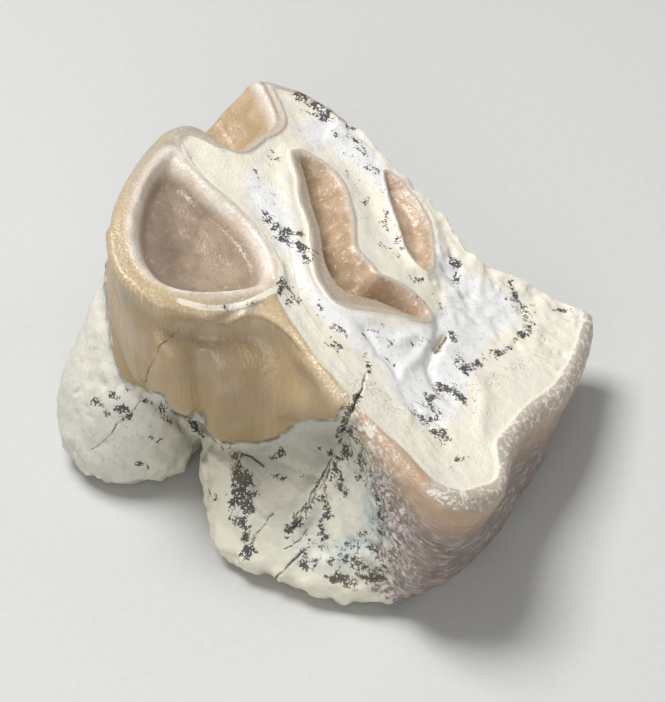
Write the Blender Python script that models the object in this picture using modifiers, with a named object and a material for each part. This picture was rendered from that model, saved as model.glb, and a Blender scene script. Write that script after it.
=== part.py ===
"""A worn upper cheek tooth of a fossil rhinoceros, lying on its roots. It grew as one piece, so it is one
solid.

The crown is modelled in the frame of its worn face: X runs from the tongue side to the cheek side, Y from
the front of the mouth to the back, and Z out of the worn face. The roots are modelled upright, as the tooth
lies. Every length in the tables is in millimetres.
"""

from math import cos, pi, radians, sin

import bmesh
import bpy
import numpy as np
from mathutils import Matrix, Vector

MM = 0.001

# How the worn face lies when the tooth rests on its roots.
WORN_FACE_HEIGHT = 31.2
WORN_FACE_TILT = radians(28.4)
CROWN_TURN = radians(-22.0)

# The surface is gathered into even voxels, smoothed, and then thinned to this many triangles. The crown is
# made a little large, for what the smoothing takes off it.
VOXEL = 0.7
PIT_VOXEL = 0.49
FINAL_VOXEL = 0.595
SEAM_SMOOTHING, PIT_SMOOTHING = 6, 3
TRIANGLES = 9000
SMOOTHING_LOSS = 0.6

# The crown's wall: the rounding of its upper edge, the step at its lower edge, and where down its height the
# pinch and the swell lie and how tall each is. A pinch is placed in millimetres, and a swell as a share of
# the wall.
EDGE_ROUNDING = 1.3
ENAMEL_TURN, ENAMEL_LEDGE = 0.4, 2.4
PINCH_DEPTH, PINCH_WIDTH = 4.5, 2.4
SWELL_SHARE, SWELL_WIDTH = 0.65, 0.3
EDGE_RINGS, WALL_RINGS = 5, 15
LOWEST_SHARE = 1.02
CROWN_STEPS, OUTLINE_STEPS, BASIN_STEPS, ROOT_SIDES = 5, 4, 3, 32

# Each row of the crown: the wall's x and y at the worn face, how far it leans plumb (0 square to the worn
# face, 1 upright), the height above the table where its enamel ends, the pinch under the rim, the swell below
# it, and how far the wall has drawn in by its lower end.
CROWN = (
    (31.4, -13.0, 0.0, 2.0, 0.0, 2.6, 2.0),
    (29.8, -18.6, 0.1, 2.0, 0.0, 2.0, 3.8),
    (27.2, -21.5, 0.3, 2.0, 0.0, 1.2, 4.8),
    (23.6, -22.3, 0.6, 2.0, 0.0, 0.6, 4.6),
    (19.6, -21.0, 0.8, 2.0, 0.3, 0.2, 2.6),
    (14.8, -19.2, 0.9, 4.0, 0.6, 0.0, 0.6),
    (11.2, -17.6, 1.0, 25.6, 0.6, 0.0, 0.0),
    (5.8, -15.6, 1.0, 24.0, 0.3, 0.2, 0.0),
    (1.3, -13.4, 1.0, 21.4, 0.8, 0.4, 0.0),
    (-2.8, -11.6, 1.0, 17.0, 1.2, 0.8, 0.0),
    (-6.6, -12.0, 1.0, 14.2, 1.6, 1.0, 0.0),
    (-8.8, -13.8, 1.0, 14.6, 1.8, 0.8, 0.0),
    (-11.6, -16.2, 1.0, 15.8, 1.8, 0.2, 0.0),
    (-13.4, -17.2, 1.0, 19.6, 1.8, 0.0, 0.0),
    (-15.4, -18.0, 1.0, 19.6, 1.8, 0.6, 0.0),
    (-19.3, -18.4, 1.0, 22.8, 1.4, 0.6, 0.0),
    (-23.0, -17.0, 1.0, 22.6, 1.2, 0.6, 0.0),
    (-26.0, -14.0, 1.0, 22.6, 0.8, 0.6, 0.0),
    (-28.4, -9.4, 0.8, 26.0, 0.4, 0.6, 0.0),
    (-29.8, -4.4, 0.7, 28.4, 0.2, 0.5, 0.0),
    (-30.4, 1.0, 0.55, 29.8, 0.0, 0.3, 0.0),
    (-30.7, 5.6, 0.5, 29.8, 0.0, 0.3, 0.0),
    (-30.5, 10.2, 0.4, 29.0, 0.0, 0.3, 0.0),
    (-29.3, 14.6, 0.4, 28.6, 0.2, 0.5, 0.0),
    (-28.6, 21.0, 0.4, 28.0, 0.2, 0.5, 0.0),
    (-28.4, 28.0, 0.4, 28.0, 0.2, 0.6, 0.0),
    (-26.9, 33.4, 0.3, 28.0, 0.2, 0.6, 0.0),
    (-22.6, 37.2, 0.3, 27.0, 0.2, 0.4, 0.0),
    (-16.9, 39.2, 0.2, 26.0, 0.2, 0.2, 0.4),
    (-10.0, 39.2, 0.1, 24.0, 0.0, 0.0, 0.8),
    (-3.2, 36.4, 0.0, 22.0, 0.0, 0.0, 1.0),
    (3.6, 34.8, 0.0, 20.0, 0.0, 0.0, 1.0),
    (8.4, 31.8, 0.0, 18.0, 0.0, 0.0, 1.0),
    (12.6, 29.6, 0.0, 15.0, 0.0, 0.0, 1.0),
    (20.5, 32.1, 0.0, 10.0, 0.0, 0.0, 1.0),
    (27.0, 33.8, 0.0, 6.0, 0.0, 0.0, 1.0),
    (30.8, 33.8, 0.0, 4.0, 0.0, 0.2, 1.0),
    (32.3, 27.0, 0.0, 3.0, 0.0, 0.4, 0.6),
    (32.9, 19.0, 0.0, 2.0, 0.0, 1.0, 0.4),
    (32.4, 11.0, 0.0, 2.0, 0.0, 2.6, 0.0),
    (30.6, 3.0, 0.0, 2.0, 0.0, 4.2, 0.0),
    (30.1, -3.4, 0.0, 2.0, 0.0, 4.8, 0.2),
    (30.7, -8.0, 0.0, 2.0, 0.0, 4.0, 1.0),
)

# The basin between the front cusp and the ridge before it: the crest round it, how far the crest drops from
# the worn face as it runs out from the line between its two ends, and the bowl inside it.
BASIN = (
    (-28.4, 6.3), (-25.3, 3.4), (-21.8, 2.2), (-18.2, 2.0), (-14.4, 1.3), (-11.8, -0.1), (-9.2, -1.9),
    (-7.7, -4.8), (-7.9, -8.0), (-9.5, -11.5), (-12.4, -15.0), (-15.8, -16.8), (-19.1, -17.2), (-22.5, -15.9),
    (-25.0, -13.4), (-27.3, -9.5), (-28.9, -4.4), (-29.7, 0.7),
)
BASIN_ENDS = ((-31.0, 7.0), (-6.0, -6.0))
CREST_DROP, CREST_REACH, CREST_LIMIT = 3.0, 14.0, 1.2
BASIN_DEPTH, BASIN_SLOPE = 4.4, 6.5
# The drop fades out down the wall, from one level to another, and to the cheek side of the basin.
BASIN_FADE_LEVEL, BASIN_FADE_HEIGHT = -12.0, 10.0
BASIN_FADE_X, BASIN_FADE_WIDTH = -7.0, 5.0

# The other hollows of the worn face, with a level and an inset for each ring of their walls.
VALLEY = (
    (-40.0, 10.0), (-27.6, 15.0), (-24.6, 14.4), (-21.6, 14.2), (-20.8, 17.0), (-20.6, 22.4), (-19.6, 26.4),
    (-20.8, 28.6), (-23.6, 31.4), (-26.4, 33.6), (-40.0, 38.0),
)
VALLEY_RINGS = ((4, -1.5), (0, 0.0), (-4, 1.4), (-8, 3.2))
BOOMERANG = (
    (-14.6, 23.2), (-13.0, 24.6), (-9.6, 24.4), (-6.8, 21.6), (-3.8, 17.6), (-2.2, 13.6), (-0.4, 11.2),
    (2.4, 10.0), (5.8, 11.6), (9.4, 11.8), (12.0, 10.4), (11.2, 8.4), (8.0, 5.8), (4.2, 2.8), (0.8, 1.4),
    (-1.6, 1.6), (-4.0, 4.2), (-6.6, 8.6), (-9.6, 13.2), (-12.4, 18.0),
)
BOOMERANG_RINGS = ((4, -0.4), (0, 0.0), (-4, 0.5), (-6, 1.3))
LEAF = (
    (-4.4, 33.2), (-2.2, 33.4), (1.4, 31.2), (4.6, 28.2), (6.6, 24.2), (7.8, 20.2), (6.4, 18.8), (3.6, 20.2),
    (1.2, 23.4), (-1.2, 27.4), (-3.6, 31.0),
)
LEAF_RINGS = ((4, -0.4), (0, 0.0), (-1.4, 0.6))

# The roots stand upright: a height above the table, then the outline there.
ROOT_NECK = (
    (27, ((-20, -1), (-12, -6), (-5, -7), (0, -13), (4, -18), (8, -20), (8, -8), (10, 6), (8, 18), (2, 28),
          (-8, 34), (-15, 28), (-20, 14))),
    (17, ((-17, -5), (-12, -8.5), (-5, -11.6), (0, -15.6), (5, -20.5), (10, -24), (16, -20), (19, 0),
          (18, 16), (8, 27), (-8, 32), (-17, 25), (-19, 8))),
    (10, ((-15, -2), (-11, -6), (-5, -9), (0, -13), (4, -17), (9, -20), (14, -16), (17, 0), (16, 16), (8, 24),
          (-6, 28), (-14, 22), (-16, 8))),
    (7, ((-12, 1), (-9, -2), (-5, -5), (0, -9), (3, -13), (7, -16), (11, -12), (14, 0), (13, 14), (7, 20),
         (-5, 24), (-11, 19), (-13, 8))),
)
FRONT_ROOT = (
    (20, ((-14, 4), (-15.4, -2), (-14.4, -6.2), (-9, -8.6), (-3.6, -12), (1, -16), (6, -20.5), (12, -23.5),
          (17, -16), (17, -4), (8, 4), (-4, 6))),
    (14, ((-15, 4), (-16.6, -2.4), (-15.4, -8.2), (-10.6, -10.8), (-4.6, -14.2), (0.6, -18.2), (6, -22.4),
          (12, -24.2), (18, -16), (19, -4), (9, 5), (-4, 7))),
    (8, ((-15.6, 3), (-17.8, -4), (-15.8, -12), (-12, -16.0), (-6, -19.4), (-0.6, -22.4), (5.4, -25),
         (12.4, -24), (18.6, -15.4), (19.6, -4), (9, 5), (-4, 7))),
    (3.5, ((-14.6, 1), (-17, -5), (-15.8, -16.2), (-12.4, -20.2), (-7.4, -23.4), (-1.4, -25.6), (5.2, -26.6),
           (12, -24.6), (17.8, -16), (19, -6), (9, 2), (-4, 3))),
    (1, ((-11, -3), (-14.6, -7), (-15.0, -15.4), (-11.4, -19.0), (-6.4, -22.2), (-1.0, -24.8), (5.0, -26.0),
         (11.0, -23.8), (15.6, -15.4), (16, -8), (8, -3), (-3, -2))),
    (-1, ((-3, -9), (-6, -11), (-7, -14), (-5, -17), (-2, -19.6), (0, -21), (5, -22), (9, -20), (12, -14),
          (12, -10), (7, -7), (0, -8))),
)
TONGUE_ROOT = (
    (30, (-22.0, 10.0), 6.0, 8.0),
    (27, (-22.6, 9.5), 7.4, 9.0),
    (22, (-23.6, 9.0), 8.6, 10.5),
    (16, (-25.3, 8.4), 9.2, 11.5),
    (11, (-26.8, 7.6), 9.8, 12.0),
    (6, (-27.2, 7.0), 10.6, 12.2),
    (3, (-27.0, 6.8), 10.2, 11.4),
    (1, (-26.8, 6.6), 8.6, 9.8),
    (-1, (-26.6, 6.6), 4.6, 5.6),
)
BACK_ROOT = (
    (22, (7.0, 20.0), 11.0, 12.0),
    (14, (12.0, 21.0), 9.0, 10.0),
    (8, (15.5, 21.5), 8.2, 9.2),
    (3, (17.2, 21.6), 7.6, 8.6),
    (1, (17.6, 21.6), 6.0, 7.0),
    (-1, (17.8, 21.6), 3.0, 4.0),
)
REAR_TONGUE_ROOT = (
    (27, (-14.0, 29.0), 9.0, 8.0),
    (18, (-15.5, 28.0), 7.6, 6.8),
    (11, (-16.5, 27.4), 6.6, 6.2),
    (8, (-16.8, 27.0), 5.4, 5.0),
    (7, (-16.8, 27.0), 3.6, 3.2),
)

TABLE_CUT = (100.0, 100.0, 20.0)
IVORY = (0.55, 0.42, 0.28, 1.0)
IVORY_ROUGHNESS = 0.45


def worn_face():
    """The worn face's place as the tooth lies on its roots."""
    lift = Matrix.Translation((0, 0, WORN_FACE_HEIGHT * MM))
    return lift @ Matrix.Rotation(WORN_FACE_TILT, 4, "Y") @ Matrix.Rotation(CROWN_TURN, 4, "Z")


def smooth_loop(rows, steps):
    """A closed Catmull-Rom curve through the rows, with this many steps between two rows."""
    rows = np.array(rows, float)
    before, after, beyond = (np.roll(rows, -k, axis=0) for k in (-1, 1, 2))
    t = (np.arange(steps) / steps)[None, :, None]
    a, b, c, d = (r[:, None, :] for r in (before, rows, after, beyond))
    curve = 0.5 * (2 * b + (c - a) * t + (2 * a - 5 * b + 4 * c - d) * t**2 + (3 * b - a - 3 * c + d) * t**3)
    return curve.reshape(-1, rows.shape[1])


def outward(loop):
    """The level direction out of a closed loop at each of its points."""
    along = np.roll(loop, -1, axis=0)[:, :2] - np.roll(loop, 1, axis=0)[:, :2]
    side = np.stack([along[:, 1], -along[:, 0]], axis=1)
    side /= np.linalg.norm(side, axis=1)[:, None]
    area = np.sum(loop[:, 0] * np.roll(loop[:, 1], -1) - loop[:, 1] * np.roll(loop[:, 0], -1))
    return side if area > 0 else -side


def loft(name, rings):
    """A closed solid through rings of points, each ring with the same number of points."""
    mesh = bpy.data.meshes.new(name)
    solid = bpy.data.objects.new(name, mesh)
    bpy.context.scene.collection.objects.link(solid)
    bm = bmesh.new()
    loops = [[bm.verts.new(Vector(p) * MM) for p in ring] for ring in rings]
    for upper, lower in zip(loops, loops[1:]):
        for i in range(len(upper)):
            j = (i + 1) % len(upper)
            bm.faces.new((upper[i], lower[i], lower[j], upper[j]))
    for end in (loops[0], loops[-1]):
        middle = bm.verts.new(sum((v.co for v in end), Vector()) / len(end))
        for i in range(len(end)):
            bm.faces.new((end[i], end[(i + 1) % len(end)], middle))
    bmesh.ops.recalc_face_normals(bm, faces=bm.faces)
    bm.to_mesh(mesh)
    bm.free()
    return solid


def crown():
    """The enamel-clad crown, from the worn face down to the scalloped lower edge of its enamel."""
    loop = smooth_loop(CROWN, CROWN_STEPS)
    side = outward(loop)
    x, y, lean, edge_height, pinch, swell, taper = loop.T
    place = np.array(worn_face())
    rim_height = np.column_stack([x, y]) @ place[2, :2] + WORN_FACE_HEIGHT
    drift = place[2, :2] / place[2, 2]
    fall = place[2, 2] * (1 + lean * (drift @ drift))
    depth = (rim_height - edge_height) / fall
    rings = []

    def ring(share, sunk, inset):
        level = sunk + share * depth
        bulge = SMOOTHING_LOSS - inset
        bulge = bulge - pinch * np.exp(-(((level - PINCH_DEPTH) / PINCH_WIDTH) ** 2))
        bulge = bulge + swell * np.exp(-(((share - SWELL_SHARE) / SWELL_WIDTH) ** 2)) - taper * share**2
        rings.append(np.column_stack([
            x - drift[0] * lean * level + side[:, 0] * bulge,
            y - drift[1] * lean * level + side[:, 1] * bulge,
            -level,
        ]))

    for k in range(EDGE_RINGS):
        angle = k / (EDGE_RINGS - 1) * pi / 2
        ring(0, EDGE_ROUNDING * (1 - cos(angle)), EDGE_ROUNDING * (1 - sin(angle)))
    for k in range(1, WALL_RINGS):
        ring(k / WALL_RINGS, EDGE_ROUNDING * (1 - k / WALL_RINGS), 0)
    ring(1.0, 0.0, ENAMEL_TURN)
    ring(LOWEST_SHARE, 0.0, ENAMEL_LEDGE)
    solid = loft("crown", rings)
    solid.matrix_world = worn_face()
    return solid


def upright_loft(name, rows):
    """A closed solid through outlines at their heights."""
    rings = []
    for height, outline in rows:
        loop = smooth_loop(outline, OUTLINE_STEPS)
        rings.append(np.column_stack([loop, np.full(len(loop), height)]))
    solid = loft(name, rings)
    remesh(solid, VOXEL, 1)
    return solid


def round_root(name, rows):
    """A root of oval section, through its centre and half widths at each height."""
    turns = np.arange(ROOT_SIDES) / ROOT_SIDES * 2 * pi
    rings = []
    for height, (x, y), across, along in rows:
        level = np.full(ROOT_SIDES, height)
        rings.append(np.column_stack([x + across * np.cos(turns), y + along * np.sin(turns), level]))
    return loft(name, rings)


def pit(name, outline, levels):
    """A cutter sunk in the worn face: the outline at each level, drawn in by an inset."""
    loop = smooth_loop(outline, OUTLINE_STEPS)
    side = outward(loop)
    rings = [np.column_stack([loop - side * inset, np.full(len(loop), level)]) for level, inset in levels]
    cutter = loft(name, rings)
    remesh(cutter, PIT_VOXEL, 1)
    cutter.matrix_world = worn_face()
    return cutter


def remember(cutter):
    """Leaves a cutter in its own collection, out of the renders."""
    cutter.display_type = "WIRE"
    cutter.hide_render = True
    cutters = bpy.data.collections.get("cutters")
    for home in cutter.users_collection:
        home.objects.unlink(cutter)
    cutters.objects.link(cutter)
    return cutter


def boolean(target, other, operation):
    change = target.modifiers.new(other.name, "BOOLEAN")
    change.operation = operation
    change.object = remember(other)
    change.solver = "EXACT"


def remesh(target, voxel, smoothing):
    """Even voxels over the whole surface, then a light smoothing of the seams between the forms."""
    even = target.modifiers.new("even_voxels", "REMESH")
    even.mode = "VOXEL"
    even.voxel_size = voxel * MM
    soften = target.modifiers.new("soften", "SMOOTH")
    soften.factor = 0.5
    soften.iterations = smoothing


def settle(target):
    """Applies the modifiers so far, with the object's place, to its own mesh."""
    bpy.context.view_layer.update()
    graph = bpy.context.evaluated_depsgraph_get()
    mesh = bpy.data.meshes.new_from_object(target.evaluated_get(graph))
    mesh.transform(target.matrix_world)
    target.modifiers.clear()
    target.data = mesh
    target.matrix_world = Matrix.Identity(4)


def smoothstep(t):
    t = np.clip(t, 0, 1)
    return t * t * (3 - 2 * t)


def inside_distance(points, outline):
    """How far each point lies inside a closed outline; negative outside it."""
    start = np.array(outline)
    run = np.roll(start, -1, axis=0) - start
    offset = points[:, None, :] - start[None]
    share = np.clip(np.sum(offset * run, axis=2) / np.sum(run * run, axis=1), 0, 1)
    distance = np.linalg.norm(offset - share[..., None] * run, axis=2).min(axis=1)
    above = (start[:, 1] > points[:, None, 1]) != (np.roll(start[:, 1], -1) > points[:, None, 1])
    level = np.where(run[:, 1] == 0, 1, run[:, 1])
    crossing = start[:, 0] + (points[:, None, 1] - start[:, 1]) * run[:, 0] / level
    inside = np.sum(above & (points[:, None, 0] < crossing), axis=1) % 2 == 1
    return np.where(inside, distance, -distance)


def sink_basin(target):
    """Drops the crest round the basin below the worn face, and sinks the bowl inside it."""
    mesh = target.data
    place = np.array(worn_face())
    points = np.empty(len(mesh.vertices) * 3)
    mesh.vertices.foreach_get("co", points)
    local = (points.reshape(-1, 3) - place[:3, 3]) @ place[:3, :3] / MM
    start, end = (np.array(p) for p in BASIN_ENDS)
    along = (end - start) / np.linalg.norm(end - start)
    away = (local[:, :2] - start) @ np.array([along[1], -along[0]])
    near_face = smoothstep((local[:, 2] - BASIN_FADE_LEVEL) / BASIN_FADE_HEIGHT)
    tongue_side = 1 - smoothstep((local[:, 0] - BASIN_FADE_X) / BASIN_FADE_WIDTH)
    crest = CREST_DROP * np.clip(away / CREST_REACH, 0, CREST_LIMIT) * tongue_side
    inside = inside_distance(local[:, :2], smooth_loop(BASIN, BASIN_STEPS))
    bowl = BASIN_DEPTH * smoothstep(inside / BASIN_SLOPE)
    local[:, 2] -= (crest + bowl) * near_face
    points = (local * MM) @ place[:3, :3].T + place[:3, 3]
    mesh.vertices.foreach_set("co", points.ravel())
    mesh.update()


def table():
    """What lies below the table: it leaves a flat foot where each root touches."""
    bpy.ops.mesh.primitive_cube_add(size=1.0, location=(0, 0, -TABLE_CUT[2] / 2 * MM))
    cutter = bpy.context.object
    cutter.name = "table"
    cutter.scale = Vector(TABLE_CUT) * MM
    return cutter


def centre(target):
    """Puts the middle of the tooth's bounding box over the origin."""
    corners = np.array(target.bound_box)
    middle = (corners.min(axis=0) + corners.max(axis=0)) / 2
    target.data.transform(Matrix.Translation((-middle[0], -middle[1], 0)))


def main():
    for leftover in list(bpy.data.objects):
        bpy.data.objects.remove(leftover)
    cutters = bpy.data.collections.new("cutters")
    parts = bpy.data.collections.new("rhino_tooth")
    bpy.context.scene.collection.children.link(cutters)
    bpy.context.scene.collection.children.link(parts)

    tooth = crown()
    tooth.name = "tooth"
    remesh(tooth, VOXEL, 0)
    settle(tooth)
    for root in (
        upright_loft("root_neck", ROOT_NECK),
        upright_loft("front_root", FRONT_ROOT),
        round_root("tongue_root", TONGUE_ROOT),
        round_root("back_root", BACK_ROOT),
        round_root("rear_tongue_root", REAR_TONGUE_ROOT),
    ):
        boolean(tooth, root, "UNION")
    remesh(tooth, VOXEL, SEAM_SMOOTHING)
    settle(tooth)
    sink_basin(tooth)
    boolean(tooth, pit("valley", VALLEY, VALLEY_RINGS), "DIFFERENCE")
    boolean(tooth, pit("boomerang_pit", BOOMERANG, BOOMERANG_RINGS), "DIFFERENCE")
    boolean(tooth, pit("leaf_pit", LEAF, LEAF_RINGS), "DIFFERENCE")
    remesh(tooth, FINAL_VOXEL, PIT_SMOOTHING)
    settle(tooth)
    thin = tooth.modifiers.new("thin", "DECIMATE")
    thin.ratio = min(1.0, TRIANGLES / sum(len(p.vertices) - 2 for p in tooth.data.polygons))
    settle(tooth)
    boolean(tooth, table(), "DIFFERENCE")
    settle(tooth)
    centre(tooth)

    for home in tooth.users_collection:
        home.objects.unlink(tooth)
    parts.objects.link(tooth)
    ivory = bpy.data.materials.new("tooth")
    ivory.use_nodes = True
    shader = ivory.node_tree.nodes["Principled BSDF"]
    shader.inputs["Base Color"].default_value = IVORY
    shader.inputs["Roughness"].default_value = IVORY_ROUGHNESS
    tooth.data.materials.append(ivory)


main()
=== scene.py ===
"""A worn upper cheek tooth of a fossil rhinoceros: its fine surface, its finish, and a plain stage."""

from functools import partial
from math import cos, radians, sin
from types import SimpleNamespace

import bmesh
import bpy
import numpy as np
from mathutils import Matrix, Vector, noise


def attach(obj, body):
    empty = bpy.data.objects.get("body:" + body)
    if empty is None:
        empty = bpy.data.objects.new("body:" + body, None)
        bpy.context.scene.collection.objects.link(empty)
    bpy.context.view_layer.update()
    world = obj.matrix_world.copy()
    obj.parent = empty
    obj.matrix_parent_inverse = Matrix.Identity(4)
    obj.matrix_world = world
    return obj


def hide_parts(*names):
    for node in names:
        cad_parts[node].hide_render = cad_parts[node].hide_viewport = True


bl_info = {
    "name": "Fossil rhino tooth",
    "version": (1, 0, 0),
    "blender": (4, 5, 0),
    "location": "3D View > Sidebar > Fossil tooth",
    "description": "Builds the fine surface of a fossil rhinoceros tooth and a plain stage for it",
    "category": "Object",
}

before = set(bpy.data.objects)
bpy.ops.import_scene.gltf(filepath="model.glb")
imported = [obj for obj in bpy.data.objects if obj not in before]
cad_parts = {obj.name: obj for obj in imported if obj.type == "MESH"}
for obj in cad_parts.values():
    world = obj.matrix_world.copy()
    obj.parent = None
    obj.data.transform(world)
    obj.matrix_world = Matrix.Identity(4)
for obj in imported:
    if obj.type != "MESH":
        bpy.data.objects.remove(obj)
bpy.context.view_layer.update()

# A metre in millimetres, and a millimetre in metres.
METRE = 1000.0
MM = 1 / METRE

# The worn face's own axes: X from the tongue side to the cheek side, Y from the front of the mouth to the
# back, and Z out of the face. Its place, in millimetres, is that of the part under it.
WORN_FACE_HEIGHT = 31.2
WORN_FACE_TILT = radians(28.4)
CROWN_TURN = radians(-22.0)
CENTRED_BY = np.array((0.804, -6.530, 0.0))
WORN_FACE = np.array(Matrix.Rotation(WORN_FACE_TILT, 3, "Y") @ Matrix.Rotation(CROWN_TURN, 3, "Z"))
WORN_ORIGIN = CENTRED_BY + np.array((0.0, 0.0, WORN_FACE_HEIGHT))

# The front of the tooth is drawn on a sheet square to the line of sight, in steps of a 7.7th of a
# millimetre, x to the right and y down, so that a line on it falls on the same lump or ledge of the solid.
SIGHT_HEIGHT = radians(40.0)
SIGHT_DISTANCE = 350.0
STEPS_PER_MM = 7.7
SHEET_SIZE = (665, 702)
SHEET_CENTRE = np.array(SHEET_SIZE) / 2
AIM = CENTRED_BY + np.array((0.0, 0.0, 22.0))
SIGHT_BACK = np.array((0.0, -cos(SIGHT_HEIGHT), sin(SIGHT_HEIGHT)))
SIGHT_UP = np.array((0.0, sin(SIGHT_HEIGHT), cos(SIGHT_HEIGHT)))
EYE = AIM + SIGHT_DISTANCE * SIGHT_BACK

# Worn face, in millimetres on its own axes.
RIM = (
    (31.5, -15.5), (28.1, -20.7), (24.6, -21.5), (21.2, -20.1), (17.6, -18.6), (14.4, -18.1), (10.9, -16.4),
    (8.7, -15.6), (4.9, -14.2), (1.2, -12.4), (-2.6, -10.4), (-5.6, -9.6), (-7.6, -12.4), (-9.4, -16.0),
    (-11.8, -18.6), (-14.9, -20.1), (-18.1, -21.1), (-21.6, -20.1), (-24.6, -17.6), (-27.0, -14.0),
    (-28.6, -10.1), (-29.6, -4.7), (-30.4, 2.0), (-30.8, 8.0), (-29.5, 13.1), (-27.2, 15.1), (-34.0, 18.0),
    (-34.0, 30.0), (-27.3, 30.1), (-26.3, 34.1), (-22.9, 36.8), (-20.9, 38.3), (-16.9, 39.0), (-12.7, 39.0),
    (-9.5, 38.8), (-4.8, 36.0), (-0.3, 35.2), (3.6, 34.6), (8.4, 31.8), (12.6, 29.6), (20.5, 32.0),
    (25.0, 33.5), (28.1, 33.6), (30.6, 34.1), (31.5, 32.7), (32.3, 26.8), (32.9, 18.0), (32.5, 11.4),
    (31.3, 6.6), (30.6, 1.7), (30.3, -3.3), (31.0, -7.6), (31.9, -11.5),
)
DENTINE = (
    (28.9, 33.3), (29.7, 30.7), (30.1, 27.3), (30.6, 22.9), (30.6, 18.3), (30.5, 14.1), (29.8, 10.6),
    (28.8, 6.5), (28.3, 3.2), (28.0, -0.6), (27.6, -3.2), (27.6, -5.5), (28.3, -7.3), (29.1, -8.9),
    (29.8, -11.1), (29.6, -13.2), (28.3, -15.8), (27.1, -18.1), (25.6, -19.3), (24.1, -19.9), (22.5, -19.8),
    (18.8, -18.5), (16.6, -18.0), (14.3, -17.4), (10.9, -16.3), (8.7, -15.4), (7.4, -14.8), (5.6, -14.0),
    (3.8, -13.4), (2.4, -12.6), (1.0, -11.7), (-0.7, -10.6), (-2.7, -9.5), (-4.1, -8.5), (-5.3, -7.7),
    (-6.0, -6.2), (-7.0, -3.2), (-8.5, -0.8), (-10.7, 1.3), (-13.4, 3.0), (-16.3, 4.2), (-19.7, 4.9),
    (-22.8, 5.4), (-25.6, 6.3), (-27.2, 7.8), (-28.0, 9.6), (-27.6, 11.4), (-26.2, 12.4), (-24.4, 12.8),
    (-23.2, 13.6), (-23.0, 16.0), (-28.4, 18.0), (-28.4, 29.0), (-25.0, 30.5), (-24.6, 33.0), (-22.4, 35.0),
    (-19.9, 36.6), (-16.5, 37.4), (-12.7, 38.0), (-9.5, 42.0), (12.0, 34.0), (28.0, 38.0),
)
NEAR_EDGE = (
    (-5.3, -8.6), (-2.7, -9.8), (1.0, -12.0), (5.6, -14.4), (10.9, -16.6), (15.6, -18.0), (20.7, -19.6),
)
MIDDLE_FOSSETTE = (
    (-16.1, 22.8), (-15.9, 24.0), (-15.1, 25.2), (-13.3, 25.7), (-10.9, 25.9), (-8.5, 24.9), (-6.8, 23.3),
    (-5.7, 21.6), (-4.0, 19.1), (-2.6, 15.8), (-1.4, 13.3), (0.2, 12.4), (2.1, 11.8), (3.0, 11.0),
    (5.2, 12.1), (7.3, 12.8), (9.2, 12.9), (11.0, 12.5), (12.1, 11.6), (12.5, 10.6), (11.9, 9.1),
    (10.2, 7.4), (8.3, 6.1), (6.0, 3.7), (3.8, 1.2), (2.1, -0.3), (0.4, -0.7), (-1.2, 0.1), (-2.9, 1.4),
    (-4.3, 3.4), (-5.2, 5.2), (-6.6, 7.8), (-8.0, 10.5), (-9.5, 12.5), (-11.0, 14.2), (-12.2, 16.3),
    (-13.1, 18.4), (-14.4, 20.1),
)
REAR_FOSSETTE = (
    (-4.6, 33.2), (-4.0, 34.0), (-2.2, 33.8), (0.0, 32.9), (2.3, 31.5), (4.3, 29.7), (6.1, 26.7),
    (7.5, 23.8), (8.3, 21.7), (8.4, 19.6), (7.5, 18.8), (5.8, 19.0), (4.0, 20.0), (2.6, 21.9), (0.9, 24.3),
    (-0.9, 26.7), (-2.6, 29.3), (-3.9, 31.5),
)
BASIN = (
    (-27.6, 7.0), (-25.2, 5.6), (-21.8, 4.2), (-18.2, 3.8), (-14.2, 2.7), (-11.2, 1.1), (-8.7, -1.2),
    (-7.2, -4.5), (-8.2, -7.4), (-10.4, -10.3), (-13.1, -13.1), (-16.0, -15.2), (-19.0, -15.9),
    (-21.8, -14.8), (-24.1, -12.8), (-26.3, -9.3), (-27.8, -4.5), (-28.6, 0.6), (-28.5, 4.8),
)
BASIN_FLOOR = (
    (-25.2, -2.0), (-25.8, 1.8), (-24.0, 3.4), (-21.0, 2.3), (-17.2, 1.8), (-13.2, 0.3), (-10.6, -2.2),
    (-9.4, -5.2), (-10.4, -7.8), (-12.4, -10.2), (-14.9, -12.2), (-17.4, -12.9), (-19.8, -11.9),
    (-21.9, -9.6), (-23.8, -6.0),
)
MIDDLE_WELL = (
    (-13.9, 22.6), (-14.6, 24.0), (-13.4, 25.0), (-10.8, 25.2), (-8.7, 24.2), (-7.2, 22.7), (-6.2, 21.1),
    (-4.6, 18.7), (-3.1, 15.4), (-1.8, 12.8), (0.0, 11.8), (2.0, 11.2), (3.0, 10.6), (5.2, 11.6),
    (7.3, 12.3), (9.2, 12.4), (10.9, 12.0), (11.6, 11.2), (10.0, 9.2), (7.4, 7.7), (4.4, 5.8), (1.9, 3.9),
    (-0.4, 3.6), (-1.8, 4.6), (-3.9, 7.0), (-5.4, 9.8), (-7.0, 12.6), (-9.3, 15.6), (-11.8, 19.6),
)
VALLEY = (
    (-44.0, 6.0), (-29.0, 15.2), (-26.4, 15.4), (-24.4, 15.2), (-22.6, 15.6), (-21.6, 17.0), (-21.1, 19.4),
    (-20.9, 22.4), (-20.1, 25.4), (-20.3, 28.4), (-22.0, 30.9), (-24.2, 33.0), (-26.6, 34.4), (-44.0, 40.0),
)

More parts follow.
